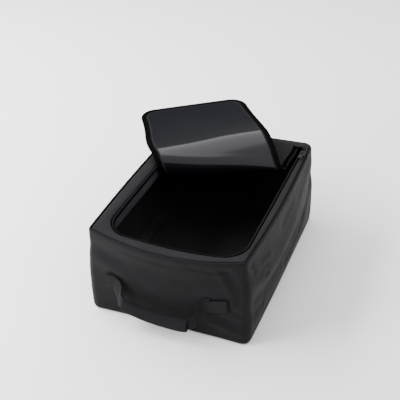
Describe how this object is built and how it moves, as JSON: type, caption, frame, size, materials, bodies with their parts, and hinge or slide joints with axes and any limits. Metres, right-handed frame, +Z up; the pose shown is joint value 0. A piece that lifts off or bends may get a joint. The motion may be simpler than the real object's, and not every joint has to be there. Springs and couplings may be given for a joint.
{
  "type": "shoe bag",
  "caption": "Soft boxy travel bag for shoes with a zipped lid flap folded back, a zip slider and a padded carrying handle on the front.",
  "frame": {"origin": "on the floor under the middle of the base panel", "axes": "+X to the right seen from the handle, +Y from the handle to the back wall, +Z up"},
  "size_m": [0.3062, 0.4614, 0.1749],
  "materials": {
    "outer_fabric": "matt woven",
    "glossy_lining": "smooth semi-gloss",
    "inner_lining": "matt woven",
    "foam": "matt",
    "zip_tape": "woven",
    "seam_tape": "woven",
    "zip_coil": "satin",
    "board": "matt",
    "slider_metal": "semi-gloss black",
    "webbing": "ribbed weave"
  },
  "bodies": {
    "bag": {"base_panel": "outer_fabric", "base_board": "board", "base_lining": "inner_lining", "wall_band": "outer_fabric", "back_wall": "outer_fabric", "wall_lining": "inner_lining", "top_seam_tape": "seam_tape", "base_seam_tape": "seam_tape", "top_border": "outer_fabric", "top_padding": "foam", "top_facing": "inner_lining", "bag_zip_tape": "zip_tape", "bag_zip_coil": "zip_coil", "zip_stop_left": "zip_coil", "zip_stop_right": "zip_coil", "handle_patch_left": "webbing", "handle_patch_right": "webbing"},
    "flap_root": {"flap_outer_root": "outer_fabric", "flap_padding_root": "foam", "flap_lining_root": "glossy_lining", "flap_zip_tape_root": "zip_tape", "flap_zip_coil_root": "zip_coil"},
    "flap_roll_1": {"flap_outer_roll_1": "outer_fabric", "flap_padding_roll_1": "foam", "flap_lining_roll_1": "glossy_lining", "flap_zip_tape_roll_1": "zip_tape", "flap_zip_coil_roll_1": "zip_coil"},
    "flap_roll_2": {"flap_outer_roll_2": "outer_fabric", "flap_padding_roll_2": "foam", "flap_lining_roll_2": "glossy_lining", "flap_zip_tape_roll_2": "zip_tape", "flap_zip_coil_roll_2": "zip_coil"},
    "flap_roll_3": {"flap_outer_roll_3": "outer_fabric", "flap_padding_roll_3": "foam", "flap_lining_roll_3": "glossy_lining", "flap_zip_tape_roll_3": "zip_tape", "flap_zip_coil_roll_3": "zip_coil"},
    "flap_main": {"flap_outer_main": "outer_fabric", "flap_padding_main": "foam", "flap_lining_main": "glossy_lining", "flap_zip_tape_main": "zip_tape", "flap_zip_coil_main": "zip_coil"},
    "zip_slider": {"zip_slider": "slider_metal", "zip_slider_crown": "slider_metal"},
    "zip_puller": {"zip_puller": "slider_metal"},
    "handle": {"handle_strap": "webbing", "handle_grip_cover": "webbing", "handle_padding_front": "foam", "handle_padding_back": "foam"}
  },
  "joints": [
    {"name": "flap_lift", "type": "hinge", "parent": "bag", "child": "flap_root", "pos_m": [0.0062, 0.1625, 0.1507], "axis": [-1, 0, 0], "range_deg": [0, 40]},
    {"name": "flap_fold_1", "type": "hinge", "parent": "flap_root", "child": "flap_roll_1", "pos_m": [0.03522, 0.07244, 0.13433], "axis": [0.9537, 0.2959, 0.0538], "range_deg": [0, 47]},
    {"name": "flap_fold_2", "type": "hinge", "parent": "flap_roll_1", "child": "flap_roll_2", "pos_m": [0.03799, 0.06204, 0.14248], "axis": [0.9537, 0.2959, 0.0538], "range_deg": [0, 47]},
    {"name": "flap_fold_3", "type": "hinge", "parent": "flap_roll_2", "child": "flap_roll_3", "pos_m": [0.0377, 0.06051, 0.15589], "axis": [0.9537, 0.2959, 0.0538], "range_deg": [0, 47]},
    {"name": "flap_fold_4", "type": "hinge", "parent": "flap_roll_3", "child": "flap_main", "pos_m": [0.03455, 0.06884, 0.16604], "axis": [0.9537, 0.2959, 0.0538], "range_deg": [0, 47]},
    {"name": "zip_slide", "type": "slide", "parent": "bag", "child": "zip_slider", "axis": [0, -1, 0], "range_m": [0, 0.25]},
    {"name": "puller_hinge", "type": "hinge", "parent": "zip_slider", "child": "zip_puller", "pos_m": [0.1144, 0.1316, 0.1542], "axis": [-1, 0, 0], "range_deg": [0, 170]},
    {"name": "handle_swing", "type": "hinge", "parent": "bag", "child": "handle", "pos_m": [0, -0.1875, 0.074], "axis": [-1, 0, 0], "range_deg": [-8, 120]}
  ]
}
